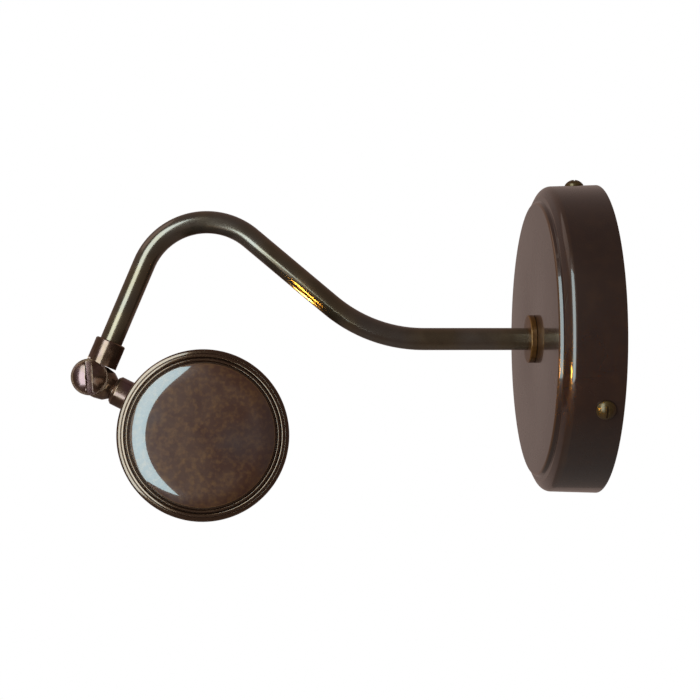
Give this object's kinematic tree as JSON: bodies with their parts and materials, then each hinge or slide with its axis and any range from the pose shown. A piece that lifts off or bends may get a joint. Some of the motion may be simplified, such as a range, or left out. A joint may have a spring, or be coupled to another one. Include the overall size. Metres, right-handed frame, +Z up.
{
  "type": "wall light",
  "caption": "Wall light: swan-neck arm on a round rose, with a horizontal barrel shade that tilts on a slotted-screw knuckle.",
  "frame": {"origin": "centre of the back face that meets the wall, on the rose's axis", "axes": "+Y into the wall, along the rose's axis; the arm reaches out along -Y; +Z up; +X along the barrel, to the end whose slotted pivot screw shows"},
  "size_m": [0.21, 0.2343, 0.1487],
  "materials": {
    "rose_patina": "dark chocolate patina under gloss lacquer",
    "arm_patina": "dark antique brass, waxed, semi-gloss",
    "knuckle_patina": "red-brown antique brass with a faint iridescent bloom",
    "shade_patina": "brown antique brass, lightly brushed and lacquered",
    "collar_brass": "aged golden brass",
    "screw_brass": "aged olive-gold brass",
    "bare_brass": "plain turned brass",
    "zinc_steel": "bright zinc plate",
    "nylon_white": "natural nylon",
    "rubber_black": "matt black rubber",
    "flex_sheath": "smooth dark flex sheath",
    "lead_insulation": "coloured insulation on single leads",
    "reflector_aluminium": "satin reflector sheet",
    "holder_plastic": "black moulded lampholder",
    "lamp_glass": "clear lamp glass",
    "filament_warm": "yellow phosphor stick, unlit"
  },
  "bodies": {
    "wall_plate": {"rose": "rose_patina", "wall_bracket": "zinc_steel", "side_screws": "screw_brass", "grommet": "rubber_black", "terminal_block": "nylon_white", "terminal_clamps": "bare_brass", "terminal_screws": "zinc_steel", "block_screw": "zinc_steel", "earth_tag": "bare_brass", "earth_screw": "bare_brass", "rose_bush": "nylon_white", "stop_pins": "zinc_steel", "rose_leads": "lead_insulation"},
    "arm": {"arm_tube": "arm_patina", "arm_flex": "flex_sheath", "tube_bush": "nylon_white", "arm_collar": "collar_brass", "stop_washer": "zinc_steel", "spring_washer": "zinc_steel", "lock_nut": "bare_brass", "knuckle_upper": "knuckle_patina", "grub_screw": "zinc_steel"},
    "head": {"knuckle_lower": "knuckle_patina", "knuckle_washer": "bare_brass", "knuckle_screw": "knuckle_patina", "stem_coupler": "knuckle_patina", "saddle": "shade_patina", "barrel": "shade_patina", "near_cap": "shade_patina", "far_cap": "shade_patina", "shade_nipple": "bare_brass", "shade_nut": "bare_brass", "holder_bracket": "zinc_steel", "reflector": "reflector_aluminium", "reflector_rivets": "bare_brass", "lampholder": "holder_plastic", "holder_thread": "bare_brass", "holder_nipple": "zinc_steel", "holder_nut": "zinc_steel", "lamp_contact": "zinc_steel", "lamp_cap": "bare_brass", "lamp_glass": "lamp_glass", "filament": "filament_warm", "head_leads": "lead_insulation"}
  },
  "joints": [
    {"name": "arm_swivel", "type": "hinge", "parent": "wall_plate", "child": "arm", "pos_m": [0, -0.0276, 0], "axis": [0, 1, 0], "range_deg": [-90, 90]},
    {"name": "head_tilt", "type": "hinge", "parent": "arm", "child": "head", "pos_m": [0, -0.2261, -0.01685], "axis": [1, 0, 0], "range_deg": [-172, 1]}
  ]
}
